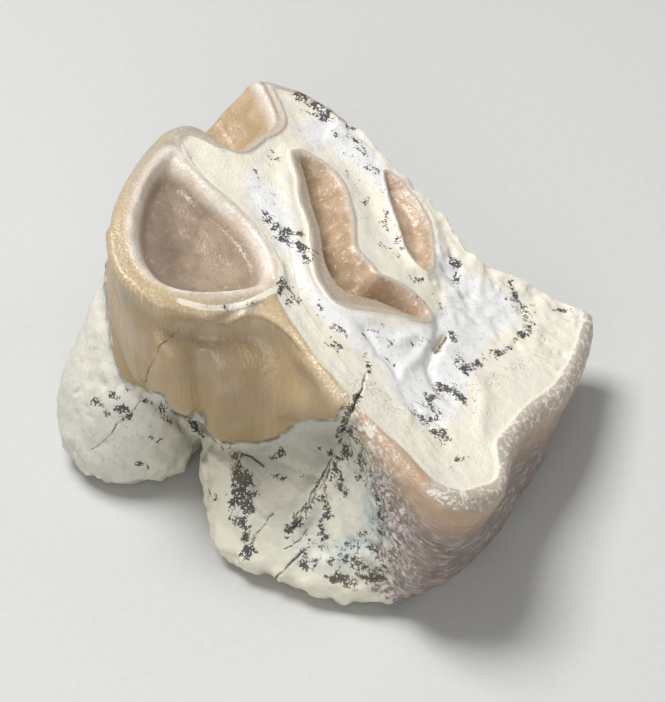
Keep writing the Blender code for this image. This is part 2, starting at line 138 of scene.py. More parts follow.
# Round the crown: x, y, how far the wall leans plumb, and the height above the table where its enamel ends.
ENAMEL_END = (
    (31.4, -13.0, 0.0, 2.0), (23.6, -22.3, 0.6, 2.0), (14.8, -19.2, 0.9, 4.0), (10.2, -17.2, 1.0, 24.0),
    (1.3, -13.4, 1.0, 20.0), (-6.6, -12.0, 1.0, 14.2), (-11.6, -16.2, 1.0, 15.8), (-19.3, -18.4, 1.0, 22.8),
    (-26.0, -14.0, 1.0, 22.6), (-28.4, -9.4, 0.8, 26.0), (-29.8, -4.4, 0.7, 28.4), (-30.4, 1.0, 0.55, 29.8),
    (-30.5, 10.2, 0.4, 29.0), (-28.6, 21.0, 0.4, 28.0), (-26.9, 33.4, 0.3, 28.0), (-16.9, 39.2, 0.2, 26.0),
    (-3.2, 36.4, 0.0, 22.0), (8.4, 31.8, 0.0, 18.0), (20.5, 32.1, 0.0, 10.0), (30.8, 33.8, 0.0, 4.0),
    (32.9, 19.0, 0.0, 2.0), (30.1, -3.4, 0.0, 2.0),
)

# The front, on the sheet square to the line of sight.
FRONT_ENAMEL = (
    (60, 60), (106, 240), (106, 282), (109, 320), (113, 352), (119, 370), (125, 381), (144, 389),
    (164, 393), (168, 402), (172, 410), (187, 417), (195, 412), (200, 411), (205, 419), (207, 427),
    (209, 433), (214, 438), (220, 442), (236, 440), (250, 441), (268, 440), (276, 437), (283, 432),
    (290, 427), (296, 424), (306, 419), (320, 418), (335, 419), (339, 411), (342, 405), (350, 393),
    (356, 380), (300, 300), (250, 60),
)
CORNER_ENAMEL = (
    (362, 396), (364, 420), (368, 446), (374, 466), (380, 490), (384, 512), (388, 532), (384, 552),
    (388, 575), (384, 620), (700, 620), (700, 200), (520, 380), (400, 420),
)
WHITE_DENTINE = (
    (302, 112), (322, 108), (352, 124), (372, 140), (392, 168), (402, 190), (430, 222), (446, 250),
    (470, 268), (502, 284), (522, 300), (516, 326), (492, 342), (476, 362), (470, 388), (462, 412),
    (446, 430), (424, 432), (404, 410), (388, 388), (372, 362), (352, 348), (330, 330), (306, 300),
    (292, 270), (272, 240), (250, 205), (236, 182), (244, 170), (262, 172), (280, 190), (292, 212),
    (300, 240), (318, 285), (350, 312), (400, 322), (430, 318), (444, 300), (440, 280), (420, 262),
    (400, 240), (384, 205), (372, 180), (352, 168), (330, 154), (310, 146), (300, 130),
)
CRACKS = (
    (((366, 374), (363, 388), (357, 398), (352, 410), (345, 424), (338, 442), (333, 456)), 0.45, 0.13),
    (((333, 456), (322, 476), (312, 494), (304, 514), (296, 526), (288, 534)), 0.4, 0.13),
    (((308, 529), (301, 538), (292, 546), (284, 549)), 0.3, 0.10),
    (((302, 551), (292, 562), (280, 573), (270, 584)), 0.45, 0.13),
    (((180, 329), (168, 339), (160, 346), (158, 352), (152, 362), (147, 376), (144, 386)), 0.3, 0.08),
    (((142, 390), (140, 402), (130, 416), (116, 425), (111, 434), (99, 446), (91, 450)), 0.4, 0.08),
    (((273, 514), (265, 524), (257, 533), (248, 552), (243, 561)), 0.3, 0.09),
    (((242, 453), (252, 457), (264, 466)), 0.3, 0.16), (((189, 419), (196, 428), (203, 436)), 0.3, 0.16),
    (((345, 432), (352, 446), (349, 462)), 0.22, 0.08), (((377, 470), (385, 492), (381, 512)), 0.22, 0.08),
    (((447, 337), (442, 344), (436, 353)), 0.45, 0.14),
)

# Below the enamel of the front: painted shade over its hollow, and a blue cast near the corner.
PAINTED_HOLLOW_SHADE = (
    (214, 450), (236, 446), (268, 446), (300, 436), (336, 430), (346, 436), (336, 458), (318, 486),
    (302, 512), (286, 530), (272, 520), (250, 496), (230, 472),
)
BLUE_CAST = ((322, 562), (346, 556), (366, 544), (374, 520), (372, 496))

# A thin line of dentine under the front of the basin.
CREAM_SEAM = (
    (180, 301), (194, 305), (208, 308), (228, 308), (244, 304), (258, 298), (272, 291), (284, 288),
)

# Ridges and hollows of the walls on the sheet: line, height in millimetres, and half width.
FOLDS = (
    (((352, 436), (341, 459), (331, 479), (319, 498), (304, 520)), 0.8, 0.9),
    (((342, 432), (330, 452), (318, 470), (305, 490), (294, 510)), -0.6, 1.0),
    (((205, 462), (222, 470), (240, 480), (262, 502), (282, 524)), 0.3, 0.8),
    (((256, 462), (284, 474), (304, 478)), -1.1, 3.4), (((228, 446), (252, 470), (280, 505)), 0.3, 0.4),
    (((240, 446), (262, 464), (296, 492)), -0.3, 0.4), (((214, 452), (240, 482), (266, 514)), 0.35, 0.45),
    (((252, 448), (278, 462), (312, 478)), 0.25, 0.4), (((212, 504), (226, 524), (236, 545)), -0.3, 1.4),
    (((306, 548), (290, 566), (276, 580)), 0.25, 0.8), (((318, 566), (342, 556), (368, 552)), 0.25, 1.4),
    (((188, 420), (202, 437), (214, 456)), 0.4, 0.6), (((182, 424), (196, 442), (204, 458)), -0.4, 0.7),
    (((143, 397), (156, 404), (175, 415), (188, 419)), -0.4, 0.6),
    (((201, 345), (200, 370), (201, 392), (203, 412)), -1.2, 1.6),
    (((152, 352), (149, 372), (146, 388)), -0.3, 0.9), (((250, 372), (252, 400), (250, 430)), 0.9, 4.2),
    (((165, 345), (168, 380)), 0.45, 2.0), (((176, 330), (220, 330), (262, 326), (300, 340)), -0.9, 2.0),
    (((366, 404), (392, 440), (424, 474), (460, 500)), -0.15, 0.7),
    (((384, 560), (410, 575), (440, 570)), 0.3, 1.6), (((400, 500), (430, 530)), -0.3, 2.4),
)

# Ridges and hollows of the dentine on the sheet: line, height in millimetres, and half width.
SWIRLS = (
    (((437, 322), (440, 334), (432, 350), (428, 366), (436, 384), (452, 398)), -0.55, 0.7),
    (((446, 336), (436, 350)), -0.9, 0.45),
    (((400, 340), (420, 334), (428, 342), (418, 358), (404, 368), (400, 384),
      (412, 402), (424, 414)), 0.4, 0.7),
    (((366, 330), (378, 352), (398, 372), (404, 392), (420, 414), (440, 424)), -0.35, 0.6),
    (((348, 322), (362, 344), (384, 366), (394, 392), (410, 418)), 0.25, 0.7),
    (((444, 352), (462, 364), (478, 380), (484, 400), (482, 430)), 0.35, 0.9),
    (((300, 160), (330, 150), (352, 170), (370, 200), (386, 236), (412, 270), (440, 290)), -0.3, 1.2),
    (((286, 178), (292, 220), (300, 252), (312, 284), (338, 306), (372, 318)), 0.25, 1.0),
    (((250, 200), (270, 232), (288, 262), (296, 290), (322, 322)), -0.25, 1.0),
    (((470, 300), (500, 318), (520, 304)), -0.25, 1.4),
    (((398, 182), (416, 196), (432, 220), (438, 250), (452, 266), (480, 276)), 0.3, 0.8),
    (((446, 262), (458, 282), (470, 300)), -0.4, 0.8),
)

# Dark mineral that has settled along these lines of the sheet: line, half width, and strength.
STAINS = (
    (((300, 94), (308, 102), (316, 112), (326, 116)), 9, 1.05), (((331, 126), (341, 138)), 5, 0.8),
    (((351, 128), (358, 142), (366, 154), (370, 166)), 7, 0.85), (((346, 152), (357, 159)), 5, 0.7),
    (((352, 174), (360, 188), (364, 200)), 6, 0.6), (((366, 167), (375, 171)), 5, 0.8),
    (((378, 191), (385, 194)), 4, 0.7), (((386, 216), (392, 228), (402, 246)), 7, 0.95),
    (((378, 238), (392, 256)), 7, 0.6), (((269, 156), (277, 163)), 5, 0.8),
    (((265, 179), (272, 183)), 4, 0.75), (((270, 219), (276, 228), (287, 236)), 9, 1.2),
    (((300, 236), (304, 248), (311, 256)), 8, 1.0), (((250, 165), (255, 171)), 4, 0.9),
    (((242, 156), (262, 186), (280, 206)), 5, 0.5), (((447, 331), (456, 337)), 5, 1.0),
    (((456, 356), (463, 367)), 6, 0.8), (((476, 378), (473, 416)), 3, 0.6),
    (((426, 402), (436, 392), (450, 386), (461, 400)), 7, 0.95), (((436, 407), (440, 415)), 5, 0.8),
    (((409, 409), (423, 420)), 4, 0.9), (((431, 424), (438, 432), (445, 439)), 7, 1.05),
    (((452, 465), (460, 461), (468, 458)), 4, 0.85), (((506, 288), (520, 300), (528, 316)), 10, 0.75),
    (((520, 300), (531, 322), (518, 340), (500, 352), (480, 362), (466, 370)), 6, 1.0),
    (((553, 312), (572, 309)), 3, 0.9), (((452, 256), (458, 268), (456, 280)), 6, 0.9),
    (((411, 275), (419, 281)), 5, 0.8), (((330, 344), (348, 352)), 6, 0.75),
    (((376, 328), (398, 352)), 9, 0.55), (((280, 286), (294, 298)), 8, 0.95),
    (((318, 300), (332, 326), (346, 336)), 7, 0.6), (((364, 334), (366, 352), (369, 372)), 3, 0.9),
    (((205, 308), (230, 309), (252, 303)), 4, 0.8), (((430, 330), (412, 348), (392, 356)), 10, 0.45),
    (((410, 296), (440, 300), (462, 316)), 9, 0.5), (((226, 444), (234, 454)), 7, 1.1),
    (((220, 460), (219, 468)), 3, 0.9), (((241, 470), (240, 488), (246, 504)), 11, 1.3),
    (((232, 500), (238, 512)), 8, 0.9), (((236, 520), (243, 527)), 6, 1.2),
    (((246, 534), (252, 546), (244, 556)), 7, 1.0), (((209, 484), (213, 498)), 4, 0.8),
    (((273, 456), (283, 452)), 5, 1.0), (((286, 468), (302, 471)), 8, 0.6),
    (((272, 475), (284, 477)), 4, 0.7), (((324, 450), (330, 454)), 5, 1.0),
    (((341, 436), (343, 441)), 5, 1.1), (((357, 396), (351, 408), (345, 422), (339, 436)), 4, 1.35),
    (((352, 430), (347, 446), (336, 467), (320, 487), (306, 508), (289, 533)), 7, 0.9),
    (((334, 464), (340, 476), (342, 490)), 6, 0.95), (((322, 500), (330, 514)), 7, 1.05),
    (((318, 525), (326, 533)), 6, 0.85), (((307, 541), (322, 549)), 7, 0.9),
    (((300, 548), (305, 556)), 5, 0.9), (((302, 560), (314, 566), (328, 572)), 8, 0.9),
    (((330, 562), (338, 554), (346, 546)), 4, 1.0),
    (((345, 548), (356, 560), (366, 570), (378, 576)), 12, 1.0),
    (((366, 536), (374, 552), (380, 566)), 9, 0.95), (((336, 578), (352, 580)), 8, 1.2),
    (((350, 432), (360, 448), (372, 462), (376, 480)), 8, 0.95), (((357, 468), (366, 482)), 8, 0.85),
    (((376, 486), (382, 506), (384, 526), (382, 540)), 6, 0.9),
    (((356, 520), (366, 530), (372, 524)), 6, 0.7), (((97, 401), (106, 413)), 6, 0.95),
    (((113, 399), (119, 409), (127, 418)), 7, 1.2), (((125, 388), (129, 391)), 3, 1.1),
    (((144, 399), (156, 403), (165, 410)), 4, 1.0), (((161, 415), (174, 422), (186, 428)), 4, 0.85),
    (((151, 438), (158, 440)), 4, 1.1), (((139, 464), (147, 466)), 5, 0.85),
    (((189, 420), (201, 433)), 4, 1.0),
)

# The broken back edge on the worn face, and two breaks of the foot on the sheet.
BACK_EDGE = ((-12, 39.5), (-3, 36.6), (4, 35), (8.6, 31.9), (12.6, 29.7), (20.5, 32.2), (29, 34))
NICK = (268, 582)
SIDE_BREAK = (206, 500)

# The crest round the basin drops from the worn face as it runs out from the line between its two ends.
BASIN_ENDS = ((-31.0, 7.0), (-6.0, -6.0))
CREST_DROP, CREST_REACH = 3.0, 14.0

# Depths of the worn face, in millimetres: the dentine's step down from the enamel, its slope from there, its
# hollow towards the cheek, the fossettes' lips and floors, and the basin's slope and floor.
DENTINE_STEP, DENTINE_SLOPE, CHEEK_HOLLOW = 0.38, 0.3, 1.2
MIDDLE_LIP, MIDDLE_DEPTH, REAR_DEPTH = 0.6, 4.3, 2.1
BASIN_DEPTH, FLOOR_DISH = 2.9, 1.4

# Rounding of the worn enamel where it meets the outer walls, the valley, and the wall outside the basin.
RIM_ROUNDING, VALLEY_ROUNDING, CREST_ROUNDING = 0.8, 0.7, 1.1

# The ledge at the enamel's lower edge: how far it stands out, and how far the root draws in under it.
LEDGE, UNDERCUT = 0.45, 0.35

# Roughness of the root and of the corner's enamel, in millimetres.
ROOT_LUMPS, ROOT_GRAIN, ROOT_PITS = 0.36, 0.17, 0.42
CORNER_GRAIN, CRUST_GRAIN = 0.22, 0.34

# The walls of the front end here, in millimetres behind the middle of the part.
FRONT_END = 12

# Triangles this near a crack are made finer, and a point with no crack near it counts as the second away.
CRACK_BAND, NO_CRACK = 0.75, 9.0

VOXEL = 0.42
FINE_VOXEL = 0.36
TRIANGLES = 165000

# Lights: where they stand and how wide they are, in metres.
LIGHTS = (
    ("key", (-0.17, 0.07, 0.50), 0.24),
    ("fill", (-0.06, -0.48, 0.24), 0.30),
    ("edge", (0.42, 0.04, 0.34), 0.22),
)

# The width of the camera's sensor, in millimetres.
SENSOR_WIDTH = 36.0

OUTLINES = {
    "rim": RIM, "dentine": DENTINE, "middle": MIDDLE_FOSSETTE, "well": MIDDLE_WELL, "rear": REAR_FOSSETTE,
    "basin": BASIN, "floor": BASIN_FLOOR, "valley": VALLEY,
}


def linear(hex_colour):
    """An sRGB hex colour as linear light."""
    values = [int(hex_colour[i:i + 2], 16) / 255 for i in (1, 3, 5)]
    return tuple(v / 12.92 if v <= 0.04045 else ((v + 0.055) / 1.055) ** 2.4 for v in values)


def rise(value, start, run):
    """0 before the start, 1 once the run is over, and smooth between; a run below 0 makes it a fall."""
    t = np.clip((value - start) / run, 0, 1)
    return t * t * (3 - 2 * t)


def bump(t):
    """1 at 0, falling to nothing by about 2 on either side."""
    return np.exp(-(t * t))


def nearest(points, line, closed=False):
    """Each point's distance from a line of points."""
    start = np.array(line, float)
    end = np.roll(start, -1, axis=0)
    if not closed:
        start, end = start[:-1], end[:-1]
    best = np.full(len(points), 1e9)
    for a, b in zip(start, end):
        run = b - a
        offset = points - a
        share = np.clip(offset @ run / (run @ run), 0, 1)
        best = np.minimum(best, np.linalg.norm(offset - share[:, None] * run, axis=1))
    return best


def within(points, outline):
    """How far each point lies inside a closed outline; negative outside it."""
    distance = nearest(points, outline, closed=True)
    start = np.array(outline, float)
    inside = np.zeros(len(points), bool)
    for a, b in zip(start, np.roll(start, -1, axis=0)):
        if a[1] == b[1]:
            continue
        spans = (a[1] > points[:, 1]) != (b[1] > points[:, 1])
        crossing = a[0] + (points[:, 1] - a[1]) * (b[0] - a[0]) / (b[1] - a[1])
        inside ^= spans & (points[:, 0] < crossing)
    return np.where(inside, distance, -distance)


def smooth_loop(outline, steps=3):
    """A closed Catmull-Rom curve through an outline's points."""
    rows = np.array(outline, float)
    before, after, beyond = (np.roll(rows, -k, axis=0)[:, None, :] for k in (-1, 1, 2))
    here = rows[:, None, :]
    t = (np.arange(steps) / steps)[None, :, None]
    curve = 2 * here + (after - before) * t + (2 * before - 5 * here + 4 * after - beyond) * t**2
    curve = 0.5 * (curve + (3 * here - before - 3 * after + beyond) * t**3)
    return curve.reshape(-1, rows.shape[1])


def to_worn_face(points):
    """Millimetres in the part's frame to the worn face's own axes."""
    return (points - WORN_ORIGIN) @ WORN_FACE


def from_worn_face(points):
    """The worn face's own axes back to millimetres in the part's frame."""
    return points @ WORN_FACE.T + WORN_ORIGIN


def to_sheet(points):
    """Millimetres in the part's frame to the sheet square to the line of sight."""
    offset = points - EYE
    scale = STEPS_PER_MM * SIGHT_DISTANCE / -(offset @ SIGHT_BACK)
    return SHEET_CENTRE + np.column_stack([offset[:, 0] * scale, -(offset @ SIGHT_UP) * scale])


def rough(points, size, octaves, seed):
    """Fractal noise of about -1 to 1 whose largest lumps are this many millimetres apart."""
    shift = Vector((seed, seed * 1.7, -seed * 0.6))
    return np.array([noise.fractal(Vector(p) / size + shift, 1.0, 2.0, octaves) for p in points])


def pits(points, size, seed):
    """Small round hollows: 1 in the middle of each, 0 between them."""
    shift = Vector((seed, -seed, seed * 0.5))
    reach = np.array([noise.voronoi(Vector(p) / size + shift)[0][0] for p in points])
    return rise(1 - reach / 0.42, 0, 1)


class Surface:
    """A triangle mesh as arrays, in millimetres, for working its surface."""

    def __init__(self, mesh):
        self.mesh = mesh
        flat = np.empty(len(mesh.vertices) * 3)
        mesh.vertices.foreach_get("co", flat)
        self.points = flat.reshape(-1, 3) / MM
        edges = np.empty(len(mesh.edges) * 2, int)
        mesh.edges.foreach_get("vertices", edges)
        self.edges = edges.reshape(-1, 2)
        self.turn()

    def turn(self):
        """Writes the points, and works out where each lies and which way it faces."""
        self.mesh.vertices.foreach_set("co", (self.points * MM).ravel())
        self.mesh.update()
        flat = np.empty(len(self.points) * 3)
        self.mesh.vertex_normals.foreach_get("vector", flat)
        self.out = flat.reshape(-1, 3)
        self.face = to_worn_face(self.points)
        self.plan, self.level = self.face[:, :2], self.face[:, 2]
        self.upward = (self.out @ WORN_FACE)[:, 2]
        self.sheet = to_sheet(self.points)
        self.towards_sight = self.out @ SIGHT_BACK
        self.seen = rise(self.towards_sight, 0.02, 0.1)

    def soften(self, rounds, share=0.5):
        """Evens the surface, moving each point by this share of the way to the middle of its neighbours."""
        a, b = self.edges.T
        count = len(self.points)
        degree = np.bincount(a, minlength=count) + np.bincount(b, minlength=count)
        for _ in range(rounds):
            total = np.zeros_like(self.points)
            for k in range(3):
                values = self.points[:, k]
                total[:, k] = np.bincount(a, values[b], count) + np.bincount(b, values[a], count)
            self.points += share * (total / degree[:, None] - self.points)
        self.turn()

    def rest(self):
        """Lays the feet flat on the table."""
        self.points[:, 2] = np.maximum(self.points[:, 2], 0)
        self.turn()

    def swell(self, amount):
        """Moves each point out of the surface by its own amount."""
        self.points += self.out * amount[:, None]
        self.turn()


def apply_modifiers(piece):
    """Turns a piece's modifiers into plain mesh."""
    bpy.context.view_layer.update()
    graph = bpy.context.evaluated_depsgraph_get()
    mesh = bpy.data.meshes.new_from_object(piece.evaluated_get(graph))
    piece.modifiers.clear()
    piece.data = mesh


def gather(piece, size):
    """Gathers a piece's surface into even voxels of this many millimetres."""
    even = piece.modifiers.new("voxels", "REMESH")
    even.mode = "VOXEL"
    even.voxel_size = size * MM
    apply_modifiers(piece)


def thin(piece, triangles):
    """Thins a piece to about this many triangles."""
    fewer = piece.modifiers.new("thin", "DECIMATE")
    fewer.ratio = min(1.0, triangles / sum(len(p.vertices) - 2 for p in piece.data.polygons))
    fewer.use_collapse_triangulate = True
    apply_modifiers(piece)


def fine_copy():
    """The tooth's solid with its loose triangles merged, gathered into fine even voxels."""
    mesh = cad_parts["tooth"].data.copy()
    bm = bmesh.new()
    bm.from_mesh(mesh)
    bmesh.ops.remove_doubles(bm, verts=bm.verts, dist=1e-6)
    bm.to_mesh(mesh)
    bm.free()
    mesh.materials.clear()
    piece = bpy.data.objects.new("fossil_tooth", mesh)
    bpy.context.scene.collection.objects.link(piece)
    gather(piece, VOXEL)
    return piece


def regions(s):
    """How far each point lies inside each outline of the worn face, in millimetres."""
    loops = {name: within(s.plan, smooth_loop(outline)) for name, outline in OUTLINES.items()}
    return SimpleNamespace(**loops)


def line_distance(s, line):
    """Each point's distance from a line of the sheet, in millimetres."""
    return nearest(s.sheet, line) / STEPS_PER_MM


def patch_depth(s, outline):
    """How far each point lies inside an outline of the sheet, in millimetres."""
    return within(s.sheet, outline) / STEPS_PER_MM


def drawn_relief(s, lines):
    """Ridges and hollows drawn on the sheet."""
    height = np.zeros(len(s.points))
    for line, lift, half in lines:
        height += lift * bump(line_distance(s, line) / half)
    return height


def wall_enamel(s):
    """How far each point of the walls lies above the lower edge of the enamel, in millimetres."""
    x, y, plumb, end = np.array(ENAMEL_END).T
    drift = WORN_FACE[2, :2] / WORN_FACE[2, 2]
    depth = -s.face[:, 2:3]
    along = x - drift[0] * plumb * depth - s.face[:, 0:1]
    back = y - drift[1] * plumb * depth - s.face[:, 1:2]
    weight = 1 / (along**2 + back**2 + 0.5) ** 3
    ends = weight @ end / weight.sum(axis=1)
    behind = s.points[:, 2] - ends + 0.6 * rough(s.points, 6.0, 2, 3.0)
    front = np.maximum(within(s.sheet, FRONT_ENAMEL), within(s.sheet, CORNER_ENAMEL)) / STEPS_PER_MM
    front = front + 0.12 * rough(s.points, 1.6, 3, 8.0)
    drawn = s.seen * rise(s.points[:, 1], 18, -3) * rise(s.sheet[:, 1], 200, 40)
    return front * drawn + behind * (1 - drawn)


def crest_drop(plan):
    """How far the crest round the basin lies below the worn face."""
    start, end = (np.array(p) for p in BASIN_ENDS)
    along = (end - start) / np.linalg.norm(end - start)
    away = (plan - start) @ np.array([along[1], -along[0]])
    return CREST_DROP * np.clip(away / CREST_REACH, 0, 1.2) * (1 - rise(plan[:, 0], -7, 5))


def across_basin(r):
    """0 at the basin's edge, 1 from the edge of its floor inwards."""
    return np.clip(r.basin / np.maximum(r.basin - r.floor, 0.4), 0, 1)


def worn_height(s, r):
    """The level of the worn face over its plan: dished dentine, proud enamel, and its hollows."""
    x, y = s.plan.T
    dentine = np.minimum.reduce([r.dentine, -r.middle - 0.1, -r.rear - 0.1, -r.valley - 1.1])
    dish = DENTINE_STEP * rise(dentine, -0.1, 0.45) + DENTINE_SLOPE * rise(dentine, 0, 3.0)
    dish += CHEEK_HOLLOW * rise(r.dentine, 1, 11) * rise(x, 2, 14)
    near_back = rise(y, 30, 5) * (x > -14)
    dish *= 1 - 0.8 * near_back
    uneven = 0.16 * rough(s.points, 8.0, 3, 1.0) + 0.10 * rough(s.points, 1.7, 3, 2.0)
    height = -dish + uneven * rise(dentine, 0, 0.8) + drawn_relief(s, SWIRLS) * rise(dentine, 0, 1)
    height += 0.25 * near_back * rough(s.points, 4.0, 3, 3.0)
    crumbly = rise(y, 12, 7) * rise(x, 3, 5) * rise(dentine, 0, 1.0)
    height += crumbly * (0.3 * rough(s.points, 2.4, 3, 7.0) - 0.4 * pits(s.points, 2.8, 9.0))
    height -= MIDDLE_LIP * rise(r.middle, 0, 1.8) + MIDDLE_DEPTH * rise(r.well, -0.1, 2.4)
    height -= REAR_DEPTH * rise(r.rear, -0.1, 2.0) - 0.2 * rough(s.points, 1.6, 3, 4.0) * (r.rear > 0.5)
    height -= RIM_ROUNDING * (1 - rise(r.rim, 0, 1.5)) ** 2 * (dentine < 1)
    height -= VALLEY_ROUNDING * (1 - rise(r.valley, 0, -1.3)) ** 2
    return height


def basin_height(s, r, drop):
    """The level of the basin: a round enamel crest, a broad slope, and an uneven floor."""
    slope = rise(across_basin(r) * 0.97, 0, 1)
    bowl = (BASIN_DEPTH - 0.4 * drop) * slope + FLOOR_DISH * rise(r.floor, 0, 6.0)
    uneven = 0.16 * rough(s.points, 3.4, 3, 5.0) + 0.07 * rough(s.points, 1.1, 3, 6.0)
    return -drop - bowl + uneven * rise(r.floor, -0.6, 1.2)


def work_worn_face(s):
    """Lays the worn face, the fossettes and the basin on their own levels."""
    r = regions(s)
    x, y = s.plan.T
    drop = crest_drop(s.plan)
    upward = rise(s.upward, -0.3, 0.2)
    reach = np.minimum(1.4 * r.rim + 0.3, 9)
    flat = rise(r.rim, 0.35, 0.9) * rise(s.level, -reach, 0.7) * upward * (1 - rise(r.valley, -0.4, 0.8))
    flat *= 1 - rise(r.basin, -2.6, 1.4) * (x < -4)
    flat = np.maximum(flat, rise(r.well, 0.3, 0.5) * (s.level > -13) * (s.level < 2))
    reach = drop + 1.2 + 1.2 * r.basin
    inside = rise(r.basin, -0.4, 0.9) * rise(s.level, -reach, 0.7) * upward
    moved = s.face.copy()
    height = moved[:, 2]
    height += (worn_height(s, r) - s.level) * np.clip(flat, 0, 1)
    height += (basin_height(s, r, drop) - s.level) * np.clip(inside, 0, 1)
    outer = upward * rise(r.basin, -5, 1) * rise(r.dentine, -0.2, -0.6)
    outer *= rise(x, -7.5, -2) * rise(y, 10, -3)
    rolled = -drop - 0.16 * np.clip(-r.basin, 0, 5) ** 1.8 - CREST_ROUNDING * (1 - rise(r.rim, 0, 2.0)) ** 2
    height += outer * np.minimum(rolled - height, 0) * rise(s.level, -8, 2)
    groove = bump((r.basin + 1.7) / 0.4) * (s.upward > 0.6) * (y < 8) * (x < -8)
    height -= 0.25 * groove * (r.dentine > -1.0)
    s.points = from_worn_face(moved)
    s.turn()


def work_walls(s):
    """The ledge at the enamel's lower edge, the folds of the front, and the roughness of root and corner."""
    enamel = wall_enamel(s)
    wall = (1 - rise(s.upward, 0.45, 0.3)) * rise(s.level, -0.8, -0.8)
    wall *= 1 - rise(within(s.plan, smooth_loop(RIM)), 2.5, 1.0) * rise(s.level, -14, 2)
    ledge = LEDGE * rise(enamel, -0.25, 0.5) * rise(enamel, 6, -5)
    ledge -= UNDERCUT * bump((enamel + 0.9) / 0.8)
    ledge *= 1 - 0.8 * rise(s.sheet[:, 0], 350, 20)
    front = s.seen * (s.points[:, 1] < FRONT_END)
    root = rise(enamel, -0.1, -0.6)
    lumps = ROOT_LUMPS * rough(s.points, 7.0, 3, 11.0) + ROOT_GRAIN * rough(s.points, 1.9, 3, 12.0)
    lumps -= ROOT_PITS * pits(s.points, 3.1, 13.0) * (rough(s.points, 9.0, 2, 14.0) > 0.0)
    corner = rise(within(s.sheet, CORNER_ENAMEL), 0, 8) * front * (enamel > 0)
    rugged = corner * (CORNER_GRAIN * rough(s.points, 2.4, 4, 21.0))
    crust = bump(nearest(s.sheet, CORNER_ENAMEL[:9]) / (STEPS_PER_MM * 3.2)) * front
    rugged += crust * (CRUST_GRAIN * rough(s.points, 1.5, 3, 22.0) + 0.1)
    s.swell(wall * (ledge + front * drawn_relief(s, FOLDS) + root * lumps + rugged))


def break_edges(s):
    """Chips along the broken back edge of the worn face, and at the foot of the front."""
    x, y, z = s.points.T
    near = bump(nearest(s.plan, BACK_EDGE) / 2.6) * rise(s.level, -6, 4)
    chip = 0.6 * rough(s.points, 5.0, 3, 31.0) + 0.32 * rough(s.points, 2.1, 3, 32.0) - 0.2
    foot = bump((z - 1.0) / 3.5) * (s.out[:, 1] < 0.2) * rise(z, 0.3, 0.8) * rise(x, 12, -6)
    right, down = (s.sheet - NICK).T
    nick = 1.4 * bump(right / 7) * bump(down / 12)
    right, down = (s.sheet - SIDE_BREAK).T
    side = bump(right / 9) * bump(down / 60) * (y < 0)
    foot = np.maximum(foot, 0.8 * side)
    s.swell(near * chip + foot * (0.8 * rough(s.points, 3.0, 3, 33.0) - 0.1 - nick))


def refine(mesh, keep):
    """Divides the edges whose two ends are both kept, so that a fine line shows."""
    bm = bmesh.new()
    bm.from_mesh(mesh)
    bm.verts.ensure_lookup_table()
    edges = [e for e in bm.edges if keep[e.verts[0].index] and keep[e.verts[1].index]]
    bmesh.ops.subdivide_edges(bm, edges=edges, cuts=2, use_grid_fill=True)
    bmesh.ops.triangulate(bm, faces=[f for f in bm.faces if len(f.verts) > 3])
    bm.to_mesh(mesh)
    bm.free()


def front_facing(s):
    """True where a point can be seen from the front."""
    return (s.towards_sight > 0.0) & (s.points[:, 1] < 16)


def crack_distance(s):
    """Each point's distance from the nearest crack in millimetres, and that crack's depth and half width."""
    distance = np.full(len(s.points), NO_CRACK)
    depth = np.zeros(len(s.points))
    half = np.full(len(s.points), 0.1)
    wander = 0.18 * np.column_stack([rough(s.points, 1.3, 3, 41.0), rough(s.points, 1.3, 3, 42.0)])
    sheet = s.sheet / STEPS_PER_MM + wander
    for line, deep, wide in CRACKS:
        far = nearest(sheet, np.array(line) / STEPS_PER_MM)
        nearer = far < distance
        distance = np.where(nearer, far, distance)
        depth = np.where(nearer, deep, depth)
        half = np.where(nearer, wide, half)
    distance = np.where(front_facing(s), distance, NO_CRACK)
    return distance, depth, half


def cut_cracks(mesh):
    """Divides the surface along the cracks and sinks them into it."""
    distance, _, _ = crack_distance(Surface(mesh))
    refine(mesh, distance < CRACK_BAND)
    s = Surface(mesh)
    distance, depth, half = crack_distance(s)
    opened = half * (1 + 0.7 * rough(s.points, 2.6, 2, 43.0))
    s.swell(-depth * (1 - rise(distance, 0, np.maximum(opened * 1.5, 0.05))))
    return s


def stain_share(s):
    """How strongly dark mineral has settled on each point."""
    stain = np.zeros(len(s.points))
    for line, half, strength in STAINS:
        stain = np.maximum(stain, strength * np.exp(-0.6 * (nearest(s.sheet, line) / half) ** 3))
    back = np.clip(rough(s.points, 11.0, 2, 51.0) * 1.8 - 0.1, 0, 0.9)
    return np.where(front_facing(s) | (s.level > -2.5), stain, back)


